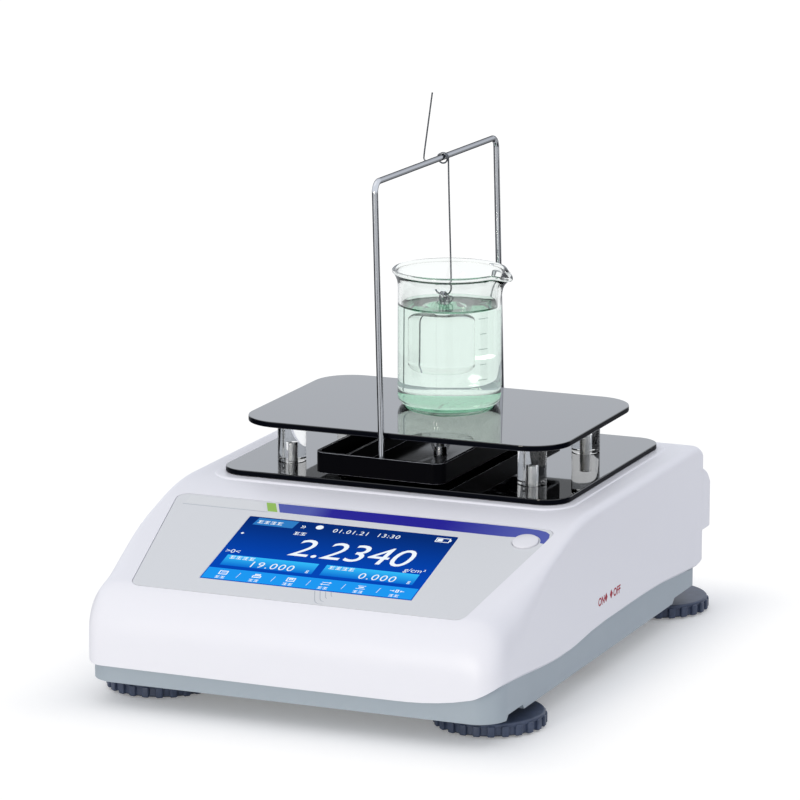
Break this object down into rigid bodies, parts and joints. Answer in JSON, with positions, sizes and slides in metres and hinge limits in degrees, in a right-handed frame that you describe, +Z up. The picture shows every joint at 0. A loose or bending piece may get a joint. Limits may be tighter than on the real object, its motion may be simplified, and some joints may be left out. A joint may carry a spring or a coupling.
{
  "type": "digital density meter",
  "caption": "Bench balance with a sloped touch-screen console and a density set: raised plate with a beaker, wire frame and hanging glass sinker, on serrated levelling feet.",
  "frame": {"origin": "on the bench, at the middle of the width and depth", "axes": "+X to the user's right, +Y to the back, +Z up"},
  "size_m": [0.2202, 0.3, 0.2655],
  "materials": {
    "white_abs": "fine textured",
    "grey_abs": "fine textured",
    "panel_film": "satin",
    "screen_glass": "polished",
    "button_plastic": "polished",
    "display_metal": "satin",
    "circuit_board": "satin",
    "battery_film": "satin",
    "black_plastic": "satin",
    "rocker_plastic": "polished",
    "connector_metal": "satin",
    "cell_aluminium": "machined",
    "screw_steel": "plated",
    "black_acrylic": "polished",
    "clear_acrylic": "polished",
    "tray_enamel": "polished",
    "chrome_rod": "polished",
    "nut_chrome": "polished",
    "lab_glass": "polished",
    "insert_brass": "machined",
    "sole_rubber": "matt",
    "knob_plastic": "fine textured"
  },
  "bodies": {
    "housing": {"base_pan": "grey_abs", "upper_housing": "white_abs", "panel_overlay": "panel_film", "touch_screen": "screen_glass", "display_module": "display_metal", "button_board": "circuit_board", "main_board": "circuit_board", "battery_pack": "battery_film", "battery_cover": "grey_abs", "power_socket": "black_plastic", "serial_port": "connector_metal", "switch_body": "black_plastic", "load_cell_base": "cell_aluminium", "load_cell": "cell_aluminium", "load_cell_screws": "screw_steel", "overload_stop": "screw_steel", "deck_plate": "black_acrylic", "platform_plate": "black_acrylic", "platform_leg_fl": "clear_acrylic", "platform_leg_fr": "clear_acrylic", "platform_leg_rl": "clear_acrylic", "platform_leg_rr": "clear_acrylic", "leg_screws": "screw_steel", "foot_inserts": "insert_brass", "housing_screws": "screw_steel"},
    "button": {"power_button": "button_plastic"},
    "rocker": {"switch_rocker": "rocker_plastic"},
    "pan": {"pan_spindle": "cell_aluminium", "weighing_tray": "tray_enamel"},
    "wing_nut": {"tray_wing_nut": "nut_chrome"},
    "frame": {"hanger_frame": "chrome_rod"},
    "hanger": {"hanger_wire": "chrome_rod"},
    "sinker": {"sinker": "lab_glass"},
    "beaker": {"beaker": "lab_glass"},
    "sole_fl": {"foot_sole_fl": "sole_rubber"},
    "foot_fl": {"foot_knob_fl": "knob_plastic"},
    "sole_fr": {"foot_sole_fr": "sole_rubber"},
    "foot_fr": {"foot_knob_fr": "knob_plastic"},
    "sole_rl": {"foot_sole_rl": "sole_rubber"},
    "foot_rl": {"foot_knob_rl": "knob_plastic"},
    "sole_rr": {"foot_sole_rr": "sole_rubber"},
    "foot_rr": {"foot_knob_rr": "knob_plastic"}
  },
  "joints": [
    {"name": "button_press", "type": "slide", "parent": "housing", "child": "button", "axis": [0, -0.2756, 0.9613], "range_m": [-0.0015, 0], "stiffness_N_per_m": 400, "springref_m": 0.0008},
    {"name": "rocker_tilt", "type": "hinge", "parent": "housing", "child": "rocker", "pos_m": [0.089, -0.005, 0.0145], "axis": [1, 0, 0], "range_deg": [-18, 0]},
    {"name": "pan_press", "type": "slide", "parent": "housing", "child": "pan", "axis": [0, 0, 1], "range_m": [-0.0005, 0], "stiffness_N_per_m": 10000, "springref_m": 0.0003, "deforming": ["load_cell"]},
    {"name": "nut_spin", "type": "hinge", "parent": "pan", "child": "wing_nut", "pos_m": [0.0055, 0.025, 0.0926], "axis": [0, 0, 1], "continuous": true},
    {"name": "frame_lift", "type": "slide", "parent": "pan", "child": "frame", "axis": [-0.0279, 0.0007, 0.9996], "range_m": [0, 0.12]},
    {"name": "hanger_swing", "type": "hinge", "parent": "frame", "child": "hanger", "pos_m": [-0.00603, 0.0561, 0.2338], "axis": [0.0262, 0.9997, 0], "range_deg": [-2, 2]},
    {"name": "sinker_swing", "type": "hinge", "parent": "hanger", "child": "sinker", "pos_m": [-0.0053, 0.0561, 0.166], "axis": [1, 0, 0], "range_deg": [-3, 3]},
    {"name": "beaker_lift", "type": "slide", "parent": "housing", "child": "beaker", "axis": [0, 0, 1], "range_m": [0, 0.01]},
    {"name": "sole_rise_fl", "type": "slide", "parent": "housing", "child": "sole_fl", "axis": [0, 0, 1], "range_m": [-0.0038, 0.0038]},
    {"name": "foot_turn_fl", "type": "hinge", "parent": "sole_fl", "child": "foot_fl", "pos_m": [-0.0836, -0.105, 0], "axis": [0, 0, 1], "range_deg": [-1080, 1080]},
    {"name": "sole_rise_fr", "type": "slide", "parent": "housing", "child": "sole_fr", "axis": [0, 0, 1], "range_m": [-0.0038, 0.0038]},
    {"name": "foot_turn_fr", "type": "hinge", "parent": "sole_fr", "child": "foot_fr", "pos_m": [0.0836, -0.105, 0], "axis": [0, 0, 1], "range_deg": [-1080, 1080]},
    {"name": "sole_rise_rl", "type": "slide", "parent": "housing", "child": "sole_rl", "axis": [0, 0, 1], "range_m": [-0.0038, 0.0038]},
    {"name": "foot_turn_rl", "type": "hinge", "parent": "sole_rl", "child": "foot_rl", "pos_m": [-0.0836, 0.1216, 0], "axis": [0, 0, 1], "range_deg": [-1080, 1080]},
    {"name": "sole_rise_rr", "type": "slide", "parent": "housing", "child": "sole_rr", "axis": [0, 0, 1], "range_m": [-0.0038, 0.0038]},
    {"name": "foot_turn_rr", "type": "hinge", "parent": "sole_rr", "child": "foot_rr", "pos_m": [0.0836, 0.1216, 0], "axis": [0, 0, 1], "range_deg": [-1080, 1080]}
  ],
  "couplings": [
    {"joint": "sole_rise_fl", "follows": "foot_turn_fl", "m_per_rad": 0.00019894},
    {"joint": "sole_rise_fr", "follows": "foot_turn_fr", "m_per_rad": 0.00019894},
    {"joint": "sole_rise_rl", "follows": "foot_turn_rl", "m_per_rad": 0.00019894},
    {"joint": "sole_rise_rr", "follows": "foot_turn_rr", "m_per_rad": 0.00019894}
  ]
}
